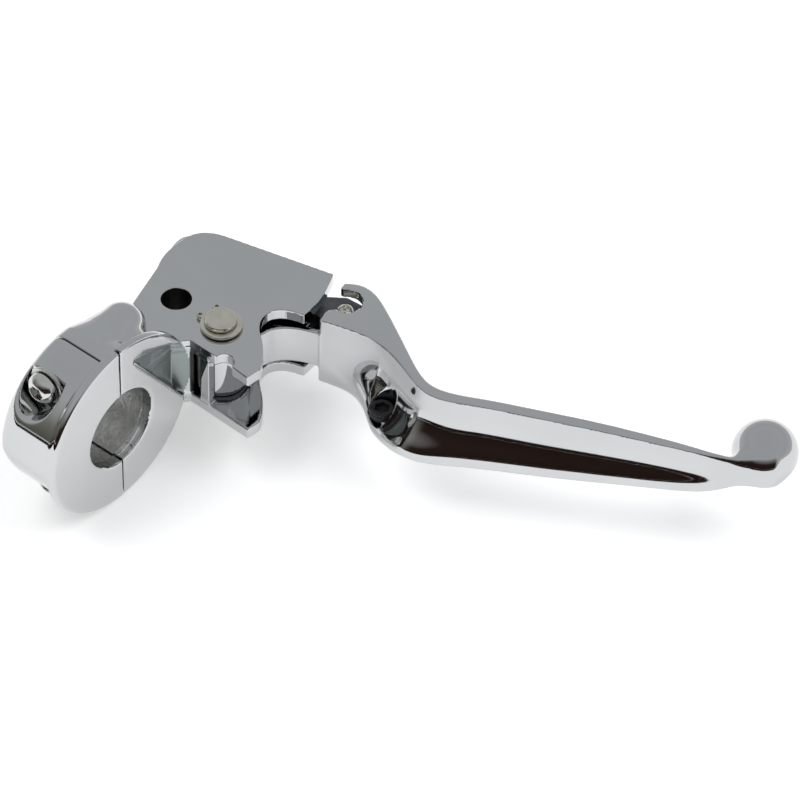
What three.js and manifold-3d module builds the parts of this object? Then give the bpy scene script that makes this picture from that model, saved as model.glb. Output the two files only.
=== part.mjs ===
// Cable-operated clutch lever with its split handlebar perch. Millimetres.
// Origin: centre of the handlebar bore. +X runs along the bar towards the lever's tip,
// +Y from the bar towards the lever's pivot, +Z towards the retaining-ring side.
import * as THREE from 'three';
import { mergeVertices } from 'three/addons/utils/BufferGeometryUtils.js';
import Module from 'manifold-3d';

const wasm = await Module();
wasm.setup();

// ---- driving dimensions ----
const GAP = 0.3; // between pieces that touch
const FINE = 40; // segments round a large circle
const COARSE = 20; // segments round a small circle

const BAR_RADIUS = 12.7; // 1 inch handlebar
const CLAMP_HALF_WIDTH = 11;
const CLAMP_RADIUS = 27.9;
const CLAMP_RIM_RADIUS = 29; // thin rim beside the outboard face
const CLAMP_CENTRE_Z = 1.5; // the clamp's outside is a little eccentric to its bore
const BORE_LAND = 4; // plated land at the bore's mouth
const BORE_RELIEF = 0.6; // as-cast bore is this much deeper

const SCREW_X = -2;
const UPPER_SCREW_Z = 21.5;
const LOWER_SCREW_Z = -17.3;
const SCREW_RADIUS = 3;
const SCREW_HEAD = { radius: 4.8, height: 4.2, hex: 2.31, hexDepth: 2.4 };
const SCREW_TIP_Y = 15;
const POCKET_RADIUS = 6.5;
const UPPER_POCKET_FLOOR_Y = -15.2;
const LOWER_POCKET_FLOOR_Y = -13;
const CLAMP_WASHER = { radius: 5.8, thickness: 1.2 };
const BOSS_OFFSET = 20; // from the clamp's own centre
const BOSS_RADIUS = 6.9;
const BOSS_END_Y = 22.5;
const SEAT_STEP = 4.4; // under the screws the perch reaches this far past the split plane
const SEAT_EDGE_X = 8.4;

const PLATE_OUTER_Z = 12.6;
const PLATE_THICKNESS = 4;
const PLATE_INNER_Z = PLATE_OUTER_Z - PLATE_THICKNESS;

const RELIEF = { x: 23.1, y: 29.5, radius: 3 }; // half-round relief in the upper plate's rear edge

const PIVOT = { x: 13.1, y: 39.6 };
const PIN_RADIUS = 4.75;
const PIN_TOP_Z = 15.9;
const PIN_HEAD = { radius: 6.6, thickness: 1.8 };
const RING_GROOVE = { bottom: 12.75, top: 14.25, radius: 4.1 };
const MIRROR_HOLE = { x: -3.7, y: 39.6, radius: 4.35, boss: 6.6 };
const CABLE_INLET = { y: 62, radius: 4.1, boss: 7.4, faceX: -23, length: 9 };

const HUB_RADIUS = 8.4;
const HUB_CLEARANCE = 8.9; // room round the hub inside the perch
const HUB_HALF_HEIGHT = 6.7;
const BUSH = { inner: 4.98, outer: 5.7, seat: 5.95 };
const ARM_HALF_HEIGHT = 3.2;
const ARM_SLOT = 3.5; // half height of the lever's slot round the arm
const FORK_HALF_HEIGHT = 7;
const FORK_SLOT = 3.9;
const FLANGE_INNER_Z = 9;

const ANCHOR = { x: 32.6, y: 71.4, sleeve: 3.6, bore: 1.85, shank: 1.5 };
const ANCHOR_HEAD = { radius: 2.8, height: 1.5 };
const ANCHOR_NUT = { radius: 3.1, height: 1.6 };
const FLANGE_HOLE = { x: 33.6, y: 70.9, radius: 4.6 };

const REACH = { x: 58.4, y: 57.3, hole: 4, end: -11.8 };
const REACH_SCREW = { radius: 3.7, top: -4, cone: -6.4, tip: -9.2, tipRadius: 0.9, hex: 2.3, hexDepth: 1.8 };
const TAIL = { low: -8.8, high: -7 };
const TAIL_ROOM_TOP = -6.7;

const BALL = { x: 153.5, y: 111.3, radius: 9.6 };

// ---- solids ----
function solid(geometry) {
  const bare = geometry.clone();
  bare.deleteAttribute('normal');
  bare.deleteAttribute('uv');
  const merged = mergeVertices(bare, 1e-4);
  const vertProperties = new Float32Array(merged.attributes.position.array);
  const triVerts = new Uint32Array(merged.index.array);
  return new wasm.Manifold(new wasm.Mesh({ numProp: 3, vertProperties, triVerts }));
}

function extruded(shape, from, to, curveSegments = 12) {
  const depth = to - from;
  const geometry = new THREE.ExtrudeGeometry(shape, { depth, bevelEnabled: false, curveSegments });
  return geometry.translate(0, 0, from);
}

function shapeOf(points) {
  return new THREE.Shape(points.map(([a, b]) => new THREE.Vector2(a, b)));
}

// An outline in the XY plane, between two heights.
function slab(points, lowZ, highZ) {
  return solid(extruded(shapeOf(points), lowZ, highZ));
}

// An outline in the YZ plane, between two places along X.
function slabAlongX(shape, lowX, highX, curveSegments = 12) {
  const turn = new THREE.Matrix4().makeBasis(
    new THREE.Vector3(0, 1, 0),
    new THREE.Vector3(0, 0, 1),
    new THREE.Vector3(1, 0, 0),
  );
  return solid(extruded(shape, lowX, highX, curveSegments).applyMatrix4(turn));
}

function box(low, high) {
  const size = high.map((value, axis) => value - low[axis]);
  const middle = high.map((value, axis) => (value + low[axis]) / 2);
  return solid(new THREE.BoxGeometry(...size).translate(...middle));
}

// A round or many-sided bar between two points.
function bar(radius, from, to, segments = FINE) {
  const along = to.clone().sub(from);
  const geometry = new THREE.CylinderGeometry(radius, radius, along.length(), segments);
  const turn = new THREE.Quaternion().setFromUnitVectors(
    new THREE.Vector3(0, 1, 0),
    along.clone().normalize(),
  );
  geometry.applyQuaternion(turn);
  const middle = from.clone().add(to).multiplyScalar(0.5);
  return solid(geometry.translate(middle.x, middle.y, middle.z));
}

function uprightBar(radius, place, lowZ, highZ, segments = FINE) {
  const low = new THREE.Vector3(place.x, place.y, lowZ);
  const high = new THREE.Vector3(place.x, place.y, highZ);
  return bar(radius, low, high, segments);
}

function barAlongY(radius, x, z, fromY, toY, segments = FINE) {
  return bar(radius, new THREE.Vector3(x, fromY, z), new THREE.Vector3(x, toY, z), segments);
}

function barAlongX(radius, y, z, fromX, toX, segments = FINE) {
  return bar(radius, new THREE.Vector3(fromX, y, z), new THREE.Vector3(toX, y, z), segments);
}

function uprightTube(outer, inner, place, lowZ, highZ, segments = FINE) {
  const hole = uprightBar(inner, place, lowZ - 1, highZ + 1, segments);
  return uprightBar(outer, place, lowZ, highZ, segments).subtract(hole);
}

function join(...solids) {
  return solids.reduce((whole, next) => whole.add(next));
}

function meshOf(name, body, material) {
  const data = body.getMesh();
  const geometry = new THREE.BufferGeometry();
  geometry.setAttribute('position', new THREE.BufferAttribute(data.vertProperties, 3));
  geometry.setIndex(new THREE.BufferAttribute(data.triVerts, 1));
  geometry.computeVertexNormals();
  const mesh = new THREE.Mesh(geometry, material);
  mesh.name = name;
  return mesh;
}

// ---- materials ----
function metal(color, roughness, metalness = 1) {
  return new THREE.MeshStandardMaterial({ color, roughness, metalness });
}

const CHROME = 0xb4b9bf;
const NICKEL = 0xb9ab8c;
const STEEL = 0x9a9a96;
const BLACK_OXIDE = 0x1c1d1f;
const BRONZE = 0x9c7a45;
const SPRING_STEEL = 0x6f7276;

// ---- clamp ----
// The clamp's outside: a drum turned about its own axis, rounded on its inboard edge and with a
// rim on its outboard edge.
function clampDrum() {
  const points = [
    [0, -CLAMP_HALF_WIDTH], [23.4, -CLAMP_HALF_WIDTH], [25.8, -10.2], [27.3, -8.2], [CLAMP_RADIUS, -5],
    [CLAMP_RADIUS, 8.2], [CLAMP_RIM_RADIUS, 8.8], [CLAMP_RIM_RADIUS, 9.6], [28.4, 10.7],
    [27.6, CLAMP_HALF_WIDTH], [0, CLAMP_HALF_WIDTH],
  ];
  const profile = points.map(([r, x]) => new THREE.Vector2(r, x));
  const turned = new THREE.LatheGeometry(profile, 64).rotateZ(-Math.PI / 2);
  return solid(turned.translate(0, 0, CLAMP_CENTRE_Z));
}

// The blocks under the screw heads where the perch reaches past the split plane.
function seatBlocks(margin) {
  const inner = 16.5 - margin;
  const blocks = [1, -1].map((side) => {
    const near = CLAMP_CENTRE_Z + side * inner;
    const far = CLAMP_CENTRE_Z + side * 40;
    const edge = SEAT_EDGE_X + margin;
    return box([-20, -SEAT_STEP - margin, Math.min(near, far)], [edge, 40, Math.max(near, far)]);
  });
  return join(...blocks);
}

function clampBore() {
  const land = barAlongX(BAR_RADIUS, 0, 0, -20, 20);
  const deepFrom = -CLAMP_HALF_WIDTH + BORE_LAND;
  const deepTo = CLAMP_HALF_WIDTH - BORE_LAND;
  return land.add(barAlongX(BAR_RADIUS + BORE_RELIEF, 0, 0, deepFrom, deepTo));
}

function screwZ(side) {
  return side > 0 ? UPPER_SCREW_Z : LOWER_SCREW_Z;
}

function pocketFloorY(side) {
  return side > 0 ? UPPER_POCKET_FLOOR_Y : LOWER_POCKET_FLOOR_Y;
}

function clampCap() {
  const capSide = box([-20, -40, -40], [20, -GAP, 40]);
  let cap = clampDrum().intersect(capSide).subtract(clampBore()).subtract(seatBlocks(GAP));
  for (const side of [1, -1]) {
    const floor = pocketFloorY(side);
    const pocket = barAlongY(POCKET_RADIUS, SCREW_X, screwZ(side), floor, -40);
    const passage = barAlongY(SCREW_RADIUS + GAP, SCREW_X, screwZ(side), floor - 1, 5, COARSE);
    cap = cap.subtract(pocket).subtract(passage);
  }
  return cap;
}

function clampWasher(side) {
  const outer = pocketFloorY(side) - GAP;
  const inner = outer - CLAMP_WASHER.thickness;
  const disc = barAlongY(CLAMP_WASHER.radius, SCREW_X, screwZ(side), outer, inner);
  const hole = barAlongY(SCREW_RADIUS + GAP, SCREW_X, screwZ(side), outer + 1, inner - 1, COARSE);
  return disc.subtract(hole);
}

// Button-headed screw: a domed head turned about its axis, with a hexagon socket.
function clampScrew(side) {
  const seatY = pocketFloorY(side) - CLAMP_WASHER.thickness - 2 * GAP;
  const { radius, height, hex, hexDepth } = SCREW_HEAD;
  const profile = new THREE.Path();
  profile.moveTo(0, 0);
  profile.lineTo(radius, 0);
  profile.lineTo(radius, height * 0.4);
  profile.quadraticCurveTo(radius * 0.9, height, radius * 0.35, height);
  profile.lineTo(0, height);
  const head = new THREE.LatheGeometry(profile.getPoints(4), 32);
  head.rotateX(Math.PI).translate(SCREW_X, seatY, screwZ(side));
  const socketFloor = seatY - height + hexDepth;
  const shank = barAlongY(SCREW_RADIUS, SCREW_X, screwZ(side), seatY - 1, SCREW_TIP_Y, COARSE);
  const socket = barAlongY(hex, SCREW_X, screwZ(side), seatY - height - 1, socketFloor, 6);
  return solid(head).add(shank).subtract(socket);
}

// ---- perch ----
// Plan outline of a plate: rear edge (the upper plate's has a half-round relief), outboard
// corner, arch over the lever's neck, forward edge, rounded inboard corner and inboard edge.
function plateShape(hasRelief) {
  const shape = new THREE.Shape();
  shape.moveTo(-10.5, 18);
  shape.lineTo(6.4, 18);
  shape.lineTo(6.8, 25.5);
  shape.lineTo(10.4, 29.6);
  if (hasRelief) {
    shape.lineTo(RELIEF.x - RELIEF.radius, RELIEF.y);
    shape.absarc(RELIEF.x, RELIEF.y, RELIEF.radius, Math.PI, 0, true);
  }
  shape.lineTo(32.4, 29);
  shape.lineTo(33, 33.5);
  shape.quadraticCurveTo(31, 39, 22.8, 45.4);
  shape.quadraticCurveTo(19.4, 48.6, 19.8, 52.4);
  shape.quadraticCurveTo(21, 57, 28.2, 58.3);
  shape.quadraticCurveTo(28.4, 67, 23.8, 76.7);
  shape.lineTo(-9.3, 68.4);
  shape.quadraticCurveTo(-17.6, 66.4, -18.6, 59.5);
  shape.quadraticCurveTo(-19.4, 51, -16.5, 46);
  shape.lineTo(-10.5, 25);
  return shape;
}

function screwBoss(side) {
  const z = CLAMP_CENTRE_Z + side * BOSS_OFFSET;
  const roundFrom = BOSS_END_Y - BOSS_RADIUS * 0.7;
  const barrel = barAlongY(BOSS_RADIUS, SCREW_X, z, GAP, roundFrom, 24);
  const nose = new THREE.SphereGeometry(BOSS_RADIUS, 24, 10).scale(1, 0.7, 1);
  return barrel.add(solid(nose.translate(SCREW_X, roundFrom, z)));
}

// Recess in the clamp's outboard face, under the rim that joins clamp and plates.
function facePocket() {
  const shape = new THREE.Shape();
  shape.moveTo(30, -12.5);
  shape.lineTo(6, 22.4);
  shape.quadraticCurveTo(17, 20.6, 25.5, 14);
  shape.lineTo(30, 10);
  return slabAlongX(shape, CLAMP_HALF_WIDTH - 4, CLAMP_HALF_WIDTH + 1, 6);
}

// Walls between the plates: rear web with its post, inboard wall, and the cable's inlet boss.
function perchWalls() {
  const z = PLATE_INNER_Z + 0.5;
  const rear = [[-10.5, 15], [6.4, 15], [6.8, 25.5], [10.4, 29.5], [17.5, 29.5], [17.5, 33], [-11, 33]];
  const web = slab(rear, -z, z);
  const inboard = [[-10.5, 30], [-16.5, 46], [-18.6, 59.5], [-14, 66], [-5, 69.4], [8, 72.6]];
  const inner = [[8, 69.4], [-4, 66.3], [-11.8, 63.4], [-15.2, 58.6], [-13.4, 47], [-7.5, 30]];
  const wall = slab([...inboard, ...inner], -z, z);
  const inlet = barAlongX(CABLE_INLET.boss, CABLE_INLET.y, 0, CABLE_INLET.faceX, -14, 36);
  const mirrorColumn = uprightBar(MIRROR_HOLE.boss, MIRROR_HOLE, -z, z);
  return join(web, wall, inlet, mirrorColumn);
}

function bracket() {
  const plates = [
    solid(extruded(plateShape(true), PLATE_INNER_Z, PLATE_OUTER_Z, 8)),
    solid(extruded(plateShape(false), -PLATE_OUTER_Z, -PLATE_INNER_Z, 8)),
  ];
  const perchSide = box([-20, GAP, -40], [20, 40, 40]).add(seatBlocks(0));
  const ring = clampDrum().intersect(perchSide).subtract(facePocket());
  const whole = join(ring, ...plates, perchWalls(), screwBoss(1), screwBoss(-1));
  const switchSlot = box([10.6, 26, -PLATE_INNER_Z], [13.9, 34, PLATE_INNER_Z - 0.6]);
  const { faceX, y, radius, length } = CABLE_INLET;
  const cuts = [
    clampBore(),
    switchSlot,
    uprightBar(HUB_CLEARANCE, PIVOT, -PLATE_INNER_Z, PLATE_INNER_Z),
    uprightBar(PIN_RADIUS + 0.2, PIVOT, -20, 20),
    uprightBar(PIN_HEAD.radius + GAP, PIVOT, -20, -PLATE_OUTER_Z + PIN_HEAD.thickness + 2 * GAP),
    uprightBar(MIRROR_HOLE.radius, MIRROR_HOLE, -20, 20),
    barAlongX(radius, y, 0, faceX - 1, faceX + length, COARSE),
    barAlongX(radius - 0.8, y, 0, faceX, -8, COARSE),
    ...[1, -1].map((side) => (
      barAlongY(SCREW_RADIUS + GAP, SCREW_X, screwZ(side), -10, SCREW_TIP_Y + GAP, COARSE))),
  ];
  return cuts.reduce((body, cut) => body.subtract(cut), whole);
}

// ---- pivot ----
function pivotPin() {
  const headLow = -PLATE_OUTER_Z + GAP;
  const headHigh = headLow + PIN_HEAD.thickness;
  const chamfer = 0.5;
  const points = [
    [0, headLow],
    [PIN_HEAD.radius, headLow],
    [PIN_HEAD.radius, headHigh],
    [PIN_RADIUS, headHigh],
    [PIN_RADIUS, RING_GROOVE.bottom],
    [RING_GROOVE.radius, RING_GROOVE.bottom],
    [RING_GROOVE.radius, RING_GROOVE.top],
    [PIN_RADIUS, RING_GROOVE.top],
    [PIN_RADIUS, PIN_TOP_Z - chamfer],
    [PIN_RADIUS - chamfer, PIN_TOP_Z],
    [0, PIN_TOP_Z],
  ];
  const profile = points.map(([r, z]) => new THREE.Vector2(r, z));
  const turned = new THREE.LatheGeometry(profile, 36).rotateX(Math.PI / 2);
  return solid(turned.translate(PIVOT.x, PIVOT.y, 0));
}

// Open snap ring with an eyed lug on each side of its gap.
function retainingRing() {
  const low = RING_GROOVE.bottom + 0.15;
  const high = RING_GROOVE.top - 0.15;
  const openDirection = 2.9;
  const lugAngle = 0.42;
  const lugDistance = 5.9;
  const ring = uprightTube(6.3, RING_GROOVE.radius + 0.2, PIVOT, low, high);
  const far = 12;
  const wedge = [-lugAngle, lugAngle].map((side) => {
    const angle = openDirection + side * 0.8;
    return [PIVOT.x + far * Math.cos(angle), PIVOT.y + far * Math.sin(angle)];
  });
  let body = ring.subtract(slab([[PIVOT.x, PIVOT.y], ...wedge], low - 1, high + 1));
  for (const side of [-lugAngle, lugAngle]) {
    const angle = openDirection + side * 1.25;
    const place = {
      x: PIVOT.x + lugDistance * Math.cos(angle),
      y: PIVOT.y + lugDistance * Math.sin(angle),
    };
    const eye = uprightBar(0.5, place, low - 1, high + 1, 12);
    body = body.add(uprightBar(1.15, place, low, high, COARSE)).subtract(eye);
  }
  return body.subtract(uprightBar(RING_GROOVE.radius + 0.2, PIVOT, low - 1, high + 1));
}

function thrustWasher(side) {
  const near = side * (HUB_HALF_HEIGHT + 0.25);
  const far = side * (PLATE_INNER_Z - 0.25);
  return uprightTube(7.6, BUSH.inner, PIVOT, Math.min(near, far), Math.max(near, far));
}

function leverBush(side) {
  const low = side > 0 ? ARM_SLOT + 0.1 : -HUB_HALF_HEIGHT;
  const high = side > 0 ? HUB_HALF_HEIGHT : -ARM_SLOT - 0.1;
  return uprightTube(BUSH.outer, BUSH.inner, PIVOT, low, high, 36);
}

// ---- lever ----
// Plan curves of the blade's flat top, from the shoulder beside the perch to the ball end.
const REAR_EDGE = [
  [32.6, 59.8], [41, 62.3], [50.8, 63.6], [59.5, 62], [66.5, 59.5], [72.5, 57.8], [78.2, 58.7],
  [88, 64], [99.4, 70], [112.4, 76.8], [123.8, 82.7], [132, 87], [143.2, 92.8], [157, 103.5],
];
const FORWARD_EDGE = [
  [28.2, 76], [38.6, 78.4], [51.4, 71.6], [61, 66], [67.4, 62.4], [72.7, 61.2], [76.8, 62],
  [86.3, 66.7], [97.5, 72.7], [110.6, 79.5], [121.9, 85.2], [130.3, 89.2], [141.5, 94.3], [147.6, 106],
];
// Half height, rear bulge and forward bulge at each of those places.
const HALF_HEIGHT = [12.3, 12.3, 12.3, 12.3, 12.2, 12, 11.5, 11.1, 10.6, 9.9, 9.1, 8.2, 7.2, 6.6];
const REAR_BULGE = [0.5, 2.4, 6.4, 9.2, 9, 7.6, 6.6, 6, 5.3, 4.8, 4.1, 3.6, 2.6, 0.6];
const FORWARD_BULGE = [0, 0, 0.5, 1.5, 2.4, 3, 3.5, 3.6, 3.6, 3.5, 3.3, 3, 2.5, 1];

function curveThrough(points) {
  return new THREE.SplineCurve(points.map(([x, y]) => new THREE.Vector2(x, y)));
}

function valueAlong(values, t) {
  const place = t * (values.length - 1);
  const before = Math.min(Math.floor(place), values.length - 2);
  return THREE.MathUtils.lerp(values[before], values[before + 1], place - before);
}

// The blade's cross-section in unit measures: x is 0 at the rear edge of the flat top and 1 at
// its forward edge, less than 0 in the rear bulge and more than 1 in the forward bulge.
function bladeSection() {
  const points = [[0, 1], [-0.02, 0.6], [-0.1, 0.35], [-0.33, 0.1], [-0.62, -0.2], [-0.9, -0.5]];
  points.push([-1, -0.68], [-0.9, -0.86], [-0.35, -1], [0.85, -1]);
  for (const z of [-0.7, -0.3, 0.3, 0.7]) {
    points.push([1 + Math.cos((Math.PI * z) / 2), z]);
  }
  points.push([1, 1]);
  return shapeOf(points);
}

function blade() {
  const steps = 28;
  const rear = curveThrough(REAR_EDGE);
  const forward = curveThrough(FORWARD_EDGE);
  const geometry = new THREE.ExtrudeGeometry(bladeSection(), { depth: 1, steps, bevelEnabled: false });
  const position = geometry.attributes.position;
  for (let i = 0; i < position.count; i += 1) {
    const across = position.getX(i);
    const t = position.getZ(i);
    const from = rear.getPoint(t);
    const to = forward.getPoint(t);
    const outward = to.clone().sub(from).normalize();
    const place = from.clone().lerp(to, THREE.MathUtils.clamp(across, 0, 1));
    place.addScaledVector(outward, Math.min(across, 0) * valueAlong(REAR_BULGE, t));
    place.addScaledVector(outward, Math.max(across - 1, 0) * valueAlong(FORWARD_BULGE, t));
    position.setXYZ(i, place.x, place.y, position.getY(i) * valueAlong(HALF_HEIGHT, t));
  }
  return solid(geometry);
}

// The neck between the plates: a hub with two ears, and a wall that curves out to the shoulder.
function leverNeck() {
  const outline = new THREE.Shape();
  outline.moveTo(PIVOT.x + HUB_RADIUS, PIVOT.y);
  outline.quadraticCurveTo(19.6, 45, 20.4, 49);
  outline.quadraticCurveTo(21.2, 56.4, 33, 59.9);
  outline.lineTo(34.4, 63.4);
  outline.quadraticCurveTo(24, 61, 17, 57);
  outline.quadraticCurveTo(9, 51, PIVOT.x - HUB_RADIUS, PIVOT.y);
  const web = solid(extruded(outline, -HUB_HALF_HEIGHT, HUB_HALF_HEIGHT, 10));
  return web.add(uprightBar(HUB_RADIUS, PIVOT, -HUB_HALF_HEIGHT, HUB_HALF_HEIGHT));
}

// Room inside the neck for the arm, open towards the perch's inboard side.
function armRoom() {
  const outline = new THREE.Shape();
  outline.moveTo(10, 28);
  outline.lineTo(10, PIVOT.y);
  outline.lineTo(17.4, 43);
  outline.lineTo(17.9, 50);
  outline.quadraticCurveTo(19, 57.6, 34, 62.4);
  outline.lineTo(34, 72);
  outline.lineTo(-2, 60);
  outline.lineTo(-2, 28);
  const room = solid(extruded(outline, -ARM_SLOT, ARM_SLOT, 10));
  return room.add(uprightBar(7.15, PIVOT, -ARM_SLOT, ARM_SLOT));
}

// Room between the flanges for the arm's fork, open towards the perch and forwards.
function forkRoom() {
  const outline = [[24, 62], [31, 62.2], [38, 63.4], [45, 64], [46, 69], [43.5, 74], [37, 82], [18, 86]];
  return slab(outline, -FLANGE_INNER_Z, FLANGE_INNER_Z);
}

// The anchor screw is reached through the upper flange, from above and from the perch side.
function anchorAccess() {
  const { x, y, radius } = FLANGE_HOLE;
  const hole = uprightBar(radius, FLANGE_HOLE, 0, 20, 36);
  return hole.add(box([x - 14, y - radius + 0.2, 0], [x, y + radius - 1.5, 20]));
}

// Channel for the arm's tail, with room in front of it for the reach to be set.
function tailRoom() {
  const outline = [[42, 64.4], [54.2, 57.4], [58.4, 57.3], [58.6, 62.5], [45, 71]];
  return slab(outline, -FLANGE_INNER_Z, TAIL_ROOM_TOP);
}

function leverBody() {
  const ball = solid(new THREE.SphereGeometry(BALL.radius, 24, 14).translate(BALL.x, BALL.y, 0));
  const cuts = [
    armRoom(),
    forkRoom(),
    anchorAccess(),
    uprightBar(BUSH.seat, PIVOT, -20, 20, 36),
    tailRoom(),
    uprightBar(REACH.hole, REACH, REACH.end, 20, 32),
  ];
  const whole = join(blade(), ball, leverNeck());
  return cuts.reduce((body, cut) => body.subtract(cut), whole);
}

// ---- arm inside the lever ----
function pivotArm() {
  const stopHeel = [[5.7, 33.4], [8.6, 33.4], [12, 38], [8, 42], [5.7, 38.5]];
  const beam = [
    [7.4, 41], [16.4, 43], [16.8, 50], [18.2, 55.2], [22.2, 59.8], [27.5, 62.9],
    [27.5, 66], [20, 63.5], [12.5, 58],
  ];
  const forkOutline = [
    [14.5, 59], [19, 61.8], [27, 64.8], [34, 65.4], [42, 65.6], [42.6, 69.6],
    [40, 73.8], [34.5, 76.4], [29.5, 76], [20, 69],
  ];
  const hub = uprightBar(6.7, PIVOT, -ARM_HALF_HEIGHT, ARM_HALF_HEIGHT);
  const plate = slab(beam, -ARM_HALF_HEIGHT, ARM_HALF_HEIGHT);
  const heel = slab(stopHeel, -ARM_HALF_HEIGHT, ARM_HALF_HEIGHT);
  const fork = slab(forkOutline, -FORK_HALF_HEIGHT, FORK_HALF_HEIGHT);
  const foot = slab([[39.2, 65.6], [42, 65.6], [42.6, 69.6], [40.4, 73]], TAIL.low, 0);
  const tail = slab([[41, 65.7], [54.6, 58], [56.6, 60.7], [42.5, 69.2]], TAIL.low, TAIL.high);
  const slot = box([0, 66.9, -FORK_SLOT], [37.4, 90, FORK_SLOT]);
  const pinHole = uprightBar(ANCHOR.shank + 0.25, ANCHOR, -20, 20, COARSE);
  const bushSeat = uprightBar(BUSH.seat, PIVOT, -20, 20, 36);
  return join(hub, plate, heel, fork, foot, tail).subtract(slot).subtract(pinHole).subtract(bushSeat);
}

function anchorSleeve() {
  const half = FORK_SLOT - 0.25;
  return uprightTube(ANCHOR.sleeve, ANCHOR.bore, ANCHOR, -half, half, 36);
}

// Pan-headed screw with a cross recess, through the fork and the sleeve.
function anchorScrew() {
  const seat = FORK_HALF_HEIGHT + 0.2;
  const top = seat + ANCHOR_HEAD.height;
  const shank = uprightBar(ANCHOR.shank, ANCHOR, -seat - ANCHOR_NUT.height - 0.1, seat + 0.5, COARSE);
  let body = uprightBar(ANCHOR_HEAD.radius, ANCHOR, seat, top, 36).add(shank);
  for (const angle of [0.5, 0.5 + Math.PI / 2]) {
    const arm = new THREE.BoxGeometry(3, 0.75, 1.6).rotateZ(angle);
    body = body.subtract(solid(arm.translate(ANCHOR.x, ANCHOR.y, top)));
  }
  return body;
}

function anchorNut() {
  const top = -FORK_HALF_HEIGHT - 0.2;
  const hexagon = uprightBar(ANCHOR_NUT.radius, ANCHOR, top - ANCHOR_NUT.height, top, 6);
  return hexagon.subtract(uprightBar(ANCHOR.shank + 0.25, ANCHOR, -20, 0, COARSE));
}

// Set screw whose cone bears on the end of the arm's tail.
function reachScrew() {
  const { radius, top, cone, tip, tipRadius, hex, hexDepth } = REACH_SCREW;
  const points = [[0, tip], [tipRadius, tip], [radius, cone], [radius, top], [0, top]];
  const profile = points.map(([r, z]) => new THREE.Vector2(r, z));
  const turned = new THREE.LatheGeometry(profile, 32).rotateX(Math.PI / 2);
  const body = solid(turned.translate(REACH.x, REACH.y, 0));
  return body.subtract(uprightBar(hex, REACH, top - hexDepth, top + 1, 6));
}

// ---- assembly ----
const group = new THREE.Group();

function place(name, body, material) {
  group.add(meshOf(name, body, material));
}

place('bracket', bracket(), metal(CHROME, 0.12));
place('clamp_cap', clampCap(), metal(CHROME, 0.12));
for (const [word, side] of [['upper', 1], ['lower', -1]]) {
  place(`${word}_clamp_screw`, clampScrew(side), metal(NICKEL, 0.2));
  place(`${word}_clamp_washer`, clampWasher(side), metal(STEEL, 0.3));
  place(`${word}_lever_bush`, leverBush(side), metal(BRONZE, 0.4));
}
place('pivot_pin', pivotPin(), metal(NICKEL, 0.25));
place('pivot_retaining_ring', retainingRing(), metal(NICKEL, 0.25));
place('thrust_washer', thrustWasher(1), metal(STEEL, 0.35));
place('anti_rattle_washer', thrustWasher(-1), metal(SPRING_STEEL, 0.35));
place('lever_body', leverBody(), metal(CHROME, 0.1));
place('pivot_arm', pivotArm(), metal(SPRING_STEEL, 0.45));
place('arm_bush', uprightTube(BUSH.outer, BUSH.inner, PIVOT, -3.1, 3.1, 36), metal(BRONZE, 0.4));
place('anchor_sleeve', anchorSleeve(), metal(STEEL, 0.35));
place('anchor_screw', anchorScrew(), metal(NICKEL, 0.25));
place('anchor_nut', anchorNut(), metal(STEEL, 0.35));
place('reach_screw', reachScrew(), metal(BLACK_OXIDE, 0.45));

export default group;
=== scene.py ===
"""Clutch lever with its split handlebar perch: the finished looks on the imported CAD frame.

Shapes are written in millimetres as distance fields and meshed in metres, in the CAD's own frame:
+X along the bar towards the lever's tip, +Y from the bar to the pivot, +Z to the retaining ring's side.
"""

import math

import bpy
import numpy as np
from mathutils import Matrix, Vector


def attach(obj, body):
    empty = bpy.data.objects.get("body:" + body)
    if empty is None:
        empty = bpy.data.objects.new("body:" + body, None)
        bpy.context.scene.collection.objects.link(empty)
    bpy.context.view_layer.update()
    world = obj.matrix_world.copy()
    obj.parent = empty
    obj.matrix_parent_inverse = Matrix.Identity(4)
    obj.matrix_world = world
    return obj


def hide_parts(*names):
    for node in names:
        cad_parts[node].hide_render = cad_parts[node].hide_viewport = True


MM = 0.001
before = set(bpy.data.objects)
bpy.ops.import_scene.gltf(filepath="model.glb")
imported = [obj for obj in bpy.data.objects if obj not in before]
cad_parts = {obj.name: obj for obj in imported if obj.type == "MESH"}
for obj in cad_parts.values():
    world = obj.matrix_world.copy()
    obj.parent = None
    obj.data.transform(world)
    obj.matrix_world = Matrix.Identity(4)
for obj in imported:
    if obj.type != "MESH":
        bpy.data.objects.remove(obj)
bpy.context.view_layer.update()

# ---- sizes shared with the CAD, in millimetres ----
BAR_RADIUS = 12.7
CLAMP_Z = 1.5
SCREW_X = -2.0
SCREW_Z = {1: 21.5, -1: -17.3}
HUMP_Z = {1: 21.5, -1: -18.5}
POCKET_FLOOR = {1: -15.2, -1: -13.0}
PLATE_OUTER = 12.6
PLATE_INNER = 8.6
PIVOT = (13.1, 39.6)
MIRROR_HOLE = (-3.7, 39.6)
ANCHOR = (32.6, 71.4)
FLANGE_HOLE = (33.6, 70.9)
REACH = (58.4, 57.3)
BALL = (153.5, 111.3)
BALL_RADIUS = 9.6
POCKET_RADIUS = 6.5
SCREW_PASSAGE = 3.3
CABLE_Y = 62
HUB_RADIUS = 8.4
SHANK_RADIUS = 3.0
HEAD_RADIUS = 4.8
HEAD_HEIGHT = 4.2
KEY_SIZE = 4.0
COS_30 = 0.8660254


# ---- distance fields ----
def soft_min(a, b, k):
    blend = np.clip(0.5 + 0.5 * (b - a) / k, 0, 1)
    return b + (a - b) * blend - k * blend * (1 - blend)


def soft_max(a, b, k):
    return -soft_min(-a, -b, k)


def cut(body, tool, k=0.5):
    return soft_max(body, -tool, k)


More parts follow.
